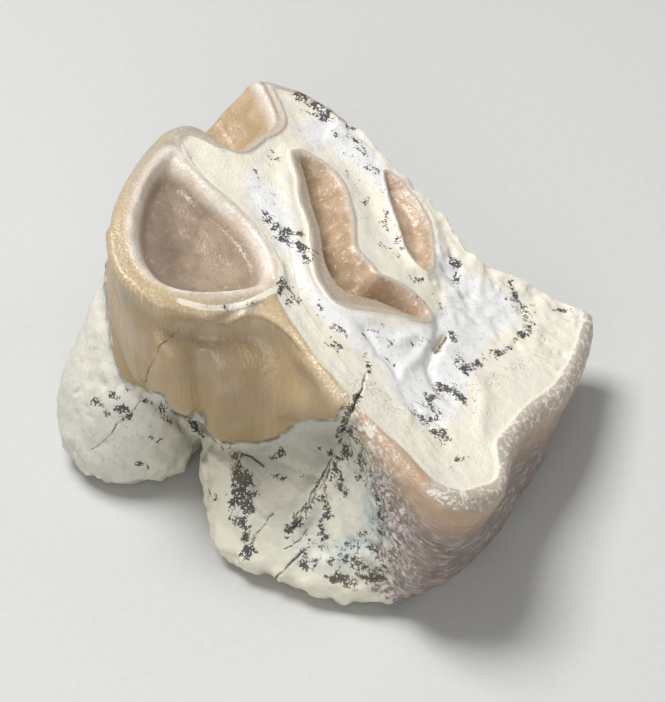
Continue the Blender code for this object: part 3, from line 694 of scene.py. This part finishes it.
def region_marks(s):
    """What the finish reads, by name: distances in millimetres, and shares from 0 to 1."""
    r = regions(s)
    x, y, z = s.points.T
    level, drop, across = s.level, crest_drop(s.plan), across_basin(r)
    at_valley = s.plan[:, 0] < -15
    facing = s.seen * (y < FRONT_END)
    band = (-r.dentine, np.minimum(r.middle + 0.15, 3), np.minimum(r.rear + 0.15, 3),
            np.where(at_valley, r.valley + 1.3, -9))
    face = rise(s.upward, 0.35, 0.3) * rise(level, -3.0, 0.8)
    face *= 1 - rise(nearest(s.plan, NEAR_EDGE), 3.0, -0.8) * (1 - rise(r.dentine, -0.15, 0.3))
    pit = np.maximum(rise(r.well, -0.15, 0.4), rise(r.rear, 0.1, 0.5))
    pit *= rise(level, -9, 1.0) * (s.upward > -0.5)
    crest = rise(r.basin + 1.1 - 0.22 * drop, 0, 0.9) * (1 - rise(across, 0.4, 0.4))
    crest *= rise(level + drop, -3.4, 1.2) * (r.dentine < 0.3)
    # Painted light: a pale band along the foot and at the broken side of the front.
    foot = bump((z - 1.0) / 6.0) + 1.3 * bump((s.sheet[:, 0] - 214) / 18) * (s.sheet[:, 1] > 462)
    crack, _, half = crack_distance(s)
    return {
        "worn_band": np.maximum.reduce(band),
        "worn_face": face,
        "fossette": pit,
        "basin_floor": rise(across, 0.4, 0.4) * rise(level, -12, 1.0),
        "basin_crest": crest,
        "below_rim": -level - drop,
        "cream_seam": bump(line_distance(s, CREAM_SEAM) / 0.34) * s.seen,
        "pale_root": rise(-22.0 - x + 0.35 * z, 0, 5),
        "edge_light": np.clip(foot * (x > -24), 0, 1),
        "valley_wall": rise(r.valley, 0.3, 0.8) * rise(level, -1.0, -1.2) * rise(level, -12, 1.0),
        "valley_edge": np.where(at_valley, np.minimum(r.valley, 1) - 4 * rise(level, -2.2, -1.2), -9),
        # Where the painted glints go: the cheek side.
        "cheek_rim": rise(s.plan[:, 0], 12, 5),
        "wall_enamel": wall_enamel(s),
        # Painted shade: darker grey in the hollow below the enamel of the front.
        "grey_hollow": rise(within(s.sheet, PAINTED_HOLLOW_SHADE) / 18, -0.4, 1) * facing,
        "blue_cast": bump(line_distance(s, BLUE_CAST) / 3.4) * facing,
        "corner": np.where(x > 0, patch_depth(s, CORNER_ENAMEL), -9),
        "stain": stain_share(s),
        "white": patch_depth(s, WHITE_DENTINE),
        "crack": crack / np.maximum(half, 0.05),
    }


# For each kind of node: its type, its fixed settings, the inputs that values fill in order, and its output.
KINDS = {
    "place": ("ShaderNodeTexCoord", {}, (), "Object"),
    "mark": ("ShaderNodeAttribute", {}, (), "Fac"),
    "turned": ("ShaderNodeMapping", {"vector_type": "TEXTURE"}, ("Vector", "Rotation"), 0),
    "scaled": ("ShaderNodeMapping", {}, ("Vector", "Scale"), 0),
    "shifted": ("ShaderNodeVectorMath", {"operation": "MULTIPLY_ADD"}, (0, 1, 2), 0),
    "spots": ("ShaderNodeTexNoise", {}, ("Vector", "Scale", "Detail", "Roughness", "Distortion"), "Fac"),
    "bend": ("ShaderNodeTexNoise", {}, ("Vector", "Scale", "Detail", "Roughness"), "Color"),
    "seams": ("ShaderNodeTexVoronoi", {"feature": "DISTANCE_TO_EDGE"}, ("Vector", "Scale"), "Distance"),
    "times": ("ShaderNodeMath", {"operation": "MULTIPLY"}, (0, 1), 0),
    "plus": ("ShaderNodeMath", {"operation": "ADD"}, (0, 1), 0),
    "minus": ("ShaderNodeMath", {"operation": "SUBTRACT"}, (0, 1), 0),
    "larger": ("ShaderNodeMath", {"operation": "MAXIMUM"}, (0, 1), 0),
    "smaller": ("ShaderNodeMath", {"operation": "MINIMUM"}, (0, 1), 0),
    "ramp": ("ShaderNodeMapRange", {"interpolation_type": "SMOOTHSTEP"}, (0, 1, 2, 3, 4), 0),
    "mix": ("ShaderNodeMix", {"data_type": "RGBA"}, (0, 6, 7), 2),
    "relief": ("ShaderNodeBump", {}, ("Strength", "Distance", "Height", "Normal"), 0),
}


def fill(tree, socket, value):
    """Gives a socket another node's output, a number, or a colour as hex or as linear light."""
    if isinstance(value, bpy.types.NodeSocket):
        tree.links.new(value, socket)
        return
    if isinstance(value, str):
        value = linear(value)
    socket.default_value = (*value, 1.0) if socket.type == "RGBA" else value


def add(tree, kind, *values, **settings):
    """Adds a node of one of the KINDS with its settings, fills its inputs in order, and gives its output."""
    node_type, fixed, inputs, output = KINDS[kind]
    node = tree.nodes.new(node_type)
    for name, value in {**fixed, **settings}.items():
        setattr(node, name, value)
    for key, value in zip(inputs, values):
        fill(tree, node.inputs[key], value)
    return node.outputs[output]


def coats(tree, ground, *layers):
    """Lays colours over a ground in turn, each by its own share."""
    for share, colour in layers:
        ground = add(tree, "mix", share, ground, colour)
    return ground


def new_material(name):
    """A new material with its node tree and its shader."""
    material = bpy.data.materials.new(name)
    material.use_nodes = True
    return material, material.node_tree, material.node_tree.nodes["Principled BSDF"]


def fossil_finish(settings, marks):
    """Fossil tooth, worn and cleaned: glassy brown enamel, chalky dentine and root, and dark dendrites.

    Enamel is nearly all apatite, so it is hard, faintly translucent and takes a polish (IOR about 1.6).
    Dentine and root are porous and dry, so they scatter light and stay matt.
    """
    material, tree, shader = new_material("fossil_enamel_and_dentine")
    node = partial(add, tree)
    coat = partial(coats, tree)
    mark = SimpleNamespace(**{name: node("mark", attribute_name=name) for name in marks})
    place = node("place")
    along_walls = node("scaled", place, (1.0, 1.0, 0.05))
    across_growth = node("scaled", node("turned", place, (0.0, WORN_FACE_TILT, 0.0)), (0.16, 0.16, 1.0))

    # Patterns: METRE is divided by the size of their largest lumps in millimetres.
    cloudy = node("spots", place, METRE / 9.0, 3.0, 0.55)
    mottled = node("spots", place, METRE / 6.0, 2.0, 0.55)
    blotchy = node("spots", place, METRE / 2.6, 4.0, 0.6)
    patches = node("spots", place, METRE / 1.7, 6.0, 0.7, 0.2)
    painted_glint_spots = node("spots", place, METRE / 0.9, 4.0, 0.6, 1.0)
    fine = node("spots", place, METRE / 0.7, 4.0, 0.65)
    broad_streaks = node("spots", along_walls, METRE / 2.4, 2.0, 0.5, 0.2)
    # Growth lines, streaks and scratches are finer than this, and are drawn as coarse as they need to show.
    streaks = node("spots", along_walls, METRE / 0.34, 2.0, 0.5)
    growth = node("spots", across_growth, METRE / 0.42, 3.0, 0.6, 0.2)
    scratches = node("spots", place, METRE / 0.30, 1.0, 0.5, 1.2)
    fine_shift = node("minus", fine, 0.5)
    blotchy_shift = node("minus", blotchy, 0.5)

    # Root and broken dentine below the enamel: chalky grey-white, bluish in places, with painted shade in the
    # hollow under the enamel and painted cream light along its foot and broken side.
    root = coat(
        settings.root_colour,
        (node("ramp", cloudy, 0.40, 0.60), "#CFC9B6"),
        (node("ramp", blotchy, 0.5, 0.68, 0.0, 0.55), "#9DA097"),
        # Painted shade: grey in the hollow under the enamel.
        (node("times", mark.grey_hollow, 0.75), "#9C988B"),
        (node("times", mark.blue_cast, node("ramp", blotchy, 0.36, 0.56, 0.15, 0.6)), "#A4B6BE"),
        (node("times", mark.pale_root, 0.75), "#D3D0C5"),
        (node("ramp", fine, 0.54, 0.68, 0.0, 0.30), "#8B877A"),
        # Painted light: pale cream along the foot and the broken side.
        (node("times", node("ramp", mark.edge_light, 0.0, 1.0), 0.8), "#DED9C6"),
    )

    # Brown enamel of the walls: honey-coloured, faintly streaked down its length, paler and combed on top.
    near_rim = node("ramp", mark.below_rim, 0.6, 4.2, 1.0, 0.0)
    comb = node("times", node("ramp", streaks, 0.50, 0.62), near_rim)
    enamel = coat(
        settings.enamel_colour,
        (node("ramp", broad_streaks, 0.4, 0.6, 0.0, 0.6), "#B6A07B"),
        (node("ramp", cloudy, 0.45, 0.62, 0.0, 0.6), "#A28D70"),
        (node("ramp", streaks, 0.44, 0.62, 0.0, 0.14), "#8E7350"),
        (node("ramp", mottled, 0.5, 0.62, 0.0, 0.5), "#B3A08A"),
        (node("ramp", mark.below_rim, 9.0, 19.0, 0.0, 0.6), "#998355"),
        (node("times", near_rim, 0.3), "#C8B594"),
        (node("times", comb, 0.35), "#DFD2BA"),
    )

    # Rugged enamel at the near corner: purplish grey, scaly, with a pale crust along its edge.
    crust = node("times", node("ramp", mark.corner, 0.5, 5.0, 1.0, 0.0), node("ramp", fine, 0.47, 0.58))
    rugged = coat(
        settings.corner_colour,
        (node("ramp", blotchy, 0.4, 0.62), "#75675F"),
        (node("ramp", growth, 0.48, 0.66, 0.0, 0.6), "#BBAFA8"),
        (node("ramp", fine, 0.60, 0.70, 0.0, 0.7), "#D8CFCA"),
        (node("ramp", mark.below_rim, 1.5, 7.5, 0.9, 0.0), "#B99E81"),
        (node("times", crust, 0.75), "#DDD3D0"),
    )
    ragged = node("plus", node("times", fine_shift, 3.0), node("times", blotchy_shift, 8.0))
    corner = node("ramp", node("plus", mark.corner, ragged), -1.6, -1.2)
    enamel = coat(enamel, (corner, rugged))

    # The enamel's lower edge is crisp, and ragged only towards the corner, with painted shade in the angle
    # under it.
    loose = node("ramp", mark.corner, -3.0, -1.5)
    edge = node("plus", mark.wall_enamel, node("times", fine_shift, 0.5))
    edge = node("plus", edge, node("times", node("times", blotchy_shift, 14.0), loose))
    is_enamel = node("ramp", edge, -0.08, 0.12)
    shade = node("times", node("ramp", edge, -0.6, -0.08), node("ramp", edge, -0.08, 0.1, 1.0, 0.0))
    # Painted shade: dark grey-brown in the angle under the enamel's edge, uneven in strength.
    painted_shade_under_edge = node("times", shade, node("times", node("ramp", blotchy, 0.35, 0.6), 0.8))
    colour = coat(root, (is_enamel, enamel), (painted_shade_under_edge, "#4F4A42"))

    # Worn dentine: cream next to the enamel, blue-white and fibrous in the middle.
    depth = node("plus", mark.white, node("times", blotchy_shift, 4.0))
    fibres = node("times", node("ramp", fine, 0.55, 0.68), node("ramp", depth, -0.4, 0.6, 0.12, 0.6))
    dentine = coat(
        settings.dentine_colour,
        (node("ramp", depth, -0.4, 1.0), "#E0DFDD"),
        (node("ramp", blotchy, 0.52, 0.66, 0.0, 0.5), "#D6D5D4"),
        (fibres, "#B4B3B4"),
    )

    # Worn enamel edges: whitish, half clear, with bright scratches across them, and painted glints on the
    # cheek side.
    # Painted highlight: whitish glints in spots on the cheek side's worn edge.
    painted_glints = node("times", node("ramp", painted_glint_spots, 0.49, 0.62), mark.cheek_rim)
    rim = coat(
        "#C3B7A8",
        (node("ramp", mark.worn_band, 0.1, 1.7), "#AB9C87"),
        (node("ramp", cloudy, 0.45, 0.6, 0.0, 0.5), "#B3A899"),
        (node("ramp", scratches, 0.61, 0.70, 0.0, 0.5), "#E6E1DA"),
        (node("times", painted_glints, 0.8), "#E8E3DF"),
    )
    band_edge = node("plus", mark.worn_band, node("times", fine_shift, 0.22))
    worn = coat(dentine, (node("ramp", band_edge, -0.04, 0.1), rim))

    # Inner walls of the valley, and the floors of the fossettes and the basin: brown and speckled, with
    # painted glints as pale specks on the floors.
    valley = coat("#B09674", (node("ramp", blotchy, 0.4, 0.65), "#C0A98C"))
    pit = coat(
        settings.pit_colour,
        (node("ramp", blotchy, 0.42, 0.62), "#C3AC93"),
        (node("ramp", cloudy, 0.5, 0.62, 0.0, 0.5), "#B59A84"),
        # Painted glints: pale specks.
        (node("ramp", fine, 0.57, 0.68, 0.0, 0.8), "#E8DCCE"),
    )
    crest = coat(
        "#CFC3B4",
        (node("ramp", blotchy, 0.4, 0.66), "#DFD8CF"),
        (node("ramp", streaks, 0.5, 0.6, 0.0, 0.25), "#B59E80"),
    )
    floor = coat(
        settings.basin_colour,
        (node("ramp", cloudy, 0.38, 0.62), "#A28E78"),
        (node("ramp", blotchy, 0.45, 0.65, 0.0, 0.5), "#7F6F63"),
        # Painted glints: pale specks.
        (node("ramp", fine, 0.62, 0.70, 0.0, 0.45), "#DDD3C8"),
    )

    # Dendrites: black moss-like manganese crystals, 0.3 to 2 mm, thickest where water got in. Branches follow
    # the seams of small cells, bent by finer noise, and keep off the polished enamel.
    cell = METRE / 0.5
    bent = node("shifted", node("bend", place, cell, 4.0, 0.7), (0.7 * MM, 0.7 * MM, 0.7 * MM), place)
    density = node("minus", patches, node("minus", 0.655, node("times", mark.stain, 0.2)))
    reach = node("smaller", node("times", density, 2.7), 0.3)
    branches = node("minus", reach, node("seams", bent, cell))
    pits_and_floor = node("larger", mark.basin_floor, mark.fossette)
    polished = node("times", is_enamel, node("minus", 1.0, mark.worn_face))
    chalky = node("minus", 1.0, node("larger", pits_and_floor, polished))
    dendrite = node("times", node("ramp", branches, 0.0, 0.03), node("ramp", mark.stain, 0.1, 0.25))
    dendrite = node("times", dendrite, node("larger", chalky, 0.0))
    ink = coat("#25262A", (node("ramp", cloudy, 0.52, 0.6), "#4C3B2B"))

    # Cracks: darker along them, more in some places than others.
    gap = node("ramp", mark.crack, 0.5, 1.15, 1.0, 0.0)
    gap = node("times", gap, node("ramp", blotchy, 0.36, 0.56, 0.35, 0.9))

    colour = coat(
        colour,
        (mark.worn_face, worn),
        (node("ramp", mark.valley_edge, -0.2, 0.5), "#C9BDB0"),
        (mark.valley_wall, valley),
        (mark.fossette, pit),
        (node("times", mark.basin_crest, 0.9), crest),
        (node("ramp", mark.cream_seam, 0.15, 0.5, 0.0, 0.9), "#E0DACB"),
        (mark.basin_floor, floor),
        (node("times", dendrite, 0.93), ink),
        (gap, "#3B342C"),
    )

    # Gloss: enamel is polished wherever it shows, and dentine and root stay matt.
    worn_enamel = node("times", mark.worn_face, node("ramp", mark.worn_band, 0.0, 0.2))
    glossy = node("larger", polished, node("larger", worn_enamel, pits_and_floor))
    matt = node("plus", node("times", glossy, -0.34), 0.68)
    matt = node("larger", node("plus", matt, node("times", fine_shift, 0.3)), 0.12)

    # Relief too fine for the mesh: the grain, the growth lines, and small pocks between the dendrites.
    grain = node("relief", 0.5, 0.12 * MM, fine)
    lines = node("plus", node("times", streaks, is_enamel), node("times", node("times", growth, corner), 2.5))
    ribbed = node("relief", 0.6, 0.15 * MM, lines, grain)
    pocks = node("minus", blotchy, node("times", dendrite, 0.15))
    for name, value in (
        ("Base Color", colour), ("Roughness", matt), ("IOR", 1.6),
        ("Normal", node("relief", 0.45, 0.3 * MM, pocks, ribbed)),
        ("Subsurface Weight", settings.translucency), ("Subsurface Radius", (1.0, 0.75, 0.5)),
        ("Subsurface Scale", 1.2 * MM),
    ):
        fill(tree, shader.inputs[name], value)
    return material


def pale_paper():
    """Seamless backdrop paper: pressed wood fibre, matt, pale and even."""
    material, tree, shader = new_material("pale_backdrop_paper")
    # Paper fibres are far finer than this, and are drawn in clumps 1.1 mm across so that they show.
    fibres = add(tree, "spots", add(tree, "place"), METRE / 1.111, 3.0)
    fill(tree, shader.inputs["Base Color"], coats(tree, "#BEBEBC", (fibres, "#C6C6C4")))
    fill(tree, shader.inputs["Roughness"], 0.9)
    return material


def colour_setting(name, description, hex_colour):
    """A colour that a user can change."""
    return bpy.props.FloatVectorProperty(
        name=name, description=description, subtype="COLOR", default=linear(hex_colour))


def strength_setting(name, description, default):
    """A light's strength that a user can change."""
    return bpy.props.FloatProperty(name=name, description=description, default=default, min=0.0)


class ToothSettings(bpy.types.PropertyGroup):
    """Colours of the tooth that a user may want to change."""

    enamel_colour: colour_setting("Enamel", "Brown enamel of the walls", "#AB936D")
    corner_colour: colour_setting("Corner enamel", "Rugged enamel at the near corner", "#85756C")
    dentine_colour: colour_setting("Dentine", "Cream dentine next to the enamel", "#E2DCCB")
    root_colour: colour_setting("Root", "Chalky root", "#B7B6A9")
    pit_colour: colour_setting("Fossettes", "Floors of the fossettes", "#AE9577")
    basin_colour: colour_setting("Basin", "Floor of the basin", "#8C7A6A")
    translucency: bpy.props.FloatProperty(
        name="Translucency", description="How much light spreads under the surface",
        default=0.15, min=0.0, max=1.0)


class StageSettings(bpy.types.PropertyGroup):
    """Size of the floor and strengths of the lights."""

    floor_size: bpy.props.FloatProperty(
        name="Floor", description="Side of the floor", default=1.6, min=0.2, unit="LENGTH")
    key_strength: strength_setting("Key light", "Strength of the large light", 3.1)
    fill_strength: strength_setting("Fill light", "Strength of the light from the front", 1.0)
    edge_strength: strength_setting("Edge light", "Strength of the light on the cheek side", 0.35)
    sky_strength: strength_setting("Surroundings", "Strength of the even light all round", 0.22)


class FOSSIL_OT_tooth(bpy.types.Operator):
    """Build the tooth's fine surface and its finish"""

    bl_idname = "fossil.tooth"
    bl_label = "Tooth"

    def execute(self, context):
        piece = fine_copy()
        s = Surface(piece.data)
        s.soften(6)
        work_worn_face(s)
        s.soften(1, 0.4)
        gather(piece, FINE_VOXEL)
        s = Surface(piece.data)
        s.soften(1, 0.4)
        work_worn_face(s)
        s.soften(1, 0.35)
        work_walls(s)
        break_edges(s)
        s.rest()
        thin(piece, TRIANGLES)
        s = cut_cracks(piece.data)
        s.rest()
        if not piece.data.polygons:
            raise RuntimeError("the tooth has no surface")
        marks = region_marks(s)
        for name, values in marks.items():
            numbers = piece.data.attributes.new(name, "FLOAT", "POINT")
            numbers.data.foreach_set("value", values.astype(np.float32))
        piece.data.shade_smooth()
        piece.data.materials.append(fossil_finish(context.scene.fossil_tooth, marks))
        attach(piece, "root")
        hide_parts("tooth")
        return {"FINISHED"}


class FOSSIL_OT_stage(bpy.types.Operator):
    """Lay the pale floor and place the lights and the camera"""

    bl_idname = "fossil.stage"
    bl_label = "Stage"

    def execute(self, context):
        settings = context.scene.fossil_stage
        bpy.ops.mesh.primitive_plane_add(size=settings.floor_size, location=(0, 0, 0))
        floor = context.object
        floor.name = "floor"
        floor.data.materials.append(pale_paper())

        world = bpy.data.worlds.new("soft_surroundings")
        world.use_nodes = True
        sky = world.node_tree.nodes["Background"]
        fill(world.node_tree, sky.inputs["Color"], "#ECECEC")
        fill(world.node_tree, sky.inputs["Strength"], settings.sky_strength)
        context.scene.world = world
        context.scene.view_settings.view_transform = "Standard"
        aim = Vector(AIM * MM)
        for name, where, width in LIGHTS:
            light = bpy.data.lights.new(name, "AREA")
            light.energy = getattr(settings, name + "_strength")
            light.size = width
            lamp = bpy.data.objects.new(name, light)
            lamp.location = where
            lamp.rotation_euler = (Vector(where) - aim).to_track_quat("Z", "Y").to_euler()
            context.scene.collection.objects.link(lamp)

        lens = bpy.data.cameras.new("camera")
        lens.sensor_width = SENSOR_WIDTH
        lens.lens = SENSOR_WIDTH * STEPS_PER_MM * SIGHT_DISTANCE / max(SHEET_SIZE)
        lens.clip_start = 0.01
        camera = bpy.data.objects.new("camera", lens)
        camera.location = Vector(EYE * MM)
        camera.rotation_euler = Vector(SIGHT_BACK).to_track_quat("Z", "Y").to_euler()
        context.scene.collection.objects.link(camera)
        context.scene.camera = camera
        return {"FINISHED"}


class FOSSIL_PT_panel(bpy.types.Panel):
    """Lists the pieces and their settings"""

    bl_idname = "FOSSIL_PT_panel"
    bl_label = "Fossil tooth"
    bl_space_type = "VIEW_3D"
    bl_region_type = "UI"
    bl_category = "Fossil tooth"

    def draw(self, context):
        for settings in (context.scene.fossil_tooth, context.scene.fossil_stage):
            for name in type(settings).__annotations__:
                self.layout.prop(settings, name)
        for operator in (FOSSIL_OT_tooth, FOSSIL_OT_stage):
            self.layout.operator(operator.bl_idname)


CLASSES = (ToothSettings, StageSettings, FOSSIL_OT_tooth, FOSSIL_OT_stage, FOSSIL_PT_panel)


def register():
    for entry in CLASSES:
        bpy.utils.register_class(entry)
    bpy.types.Scene.fossil_tooth = bpy.props.PointerProperty(type=ToothSettings)
    bpy.types.Scene.fossil_stage = bpy.props.PointerProperty(type=StageSettings)


def unregister():
    del bpy.types.Scene.fossil_tooth
    del bpy.types.Scene.fossil_stage
    for entry in reversed(CLASSES):
        bpy.utils.unregister_class(entry)


def main():
    register()
    bpy.ops.fossil.tooth()
    bpy.ops.fossil.stage()


if __name__ == "__main__":
    main()
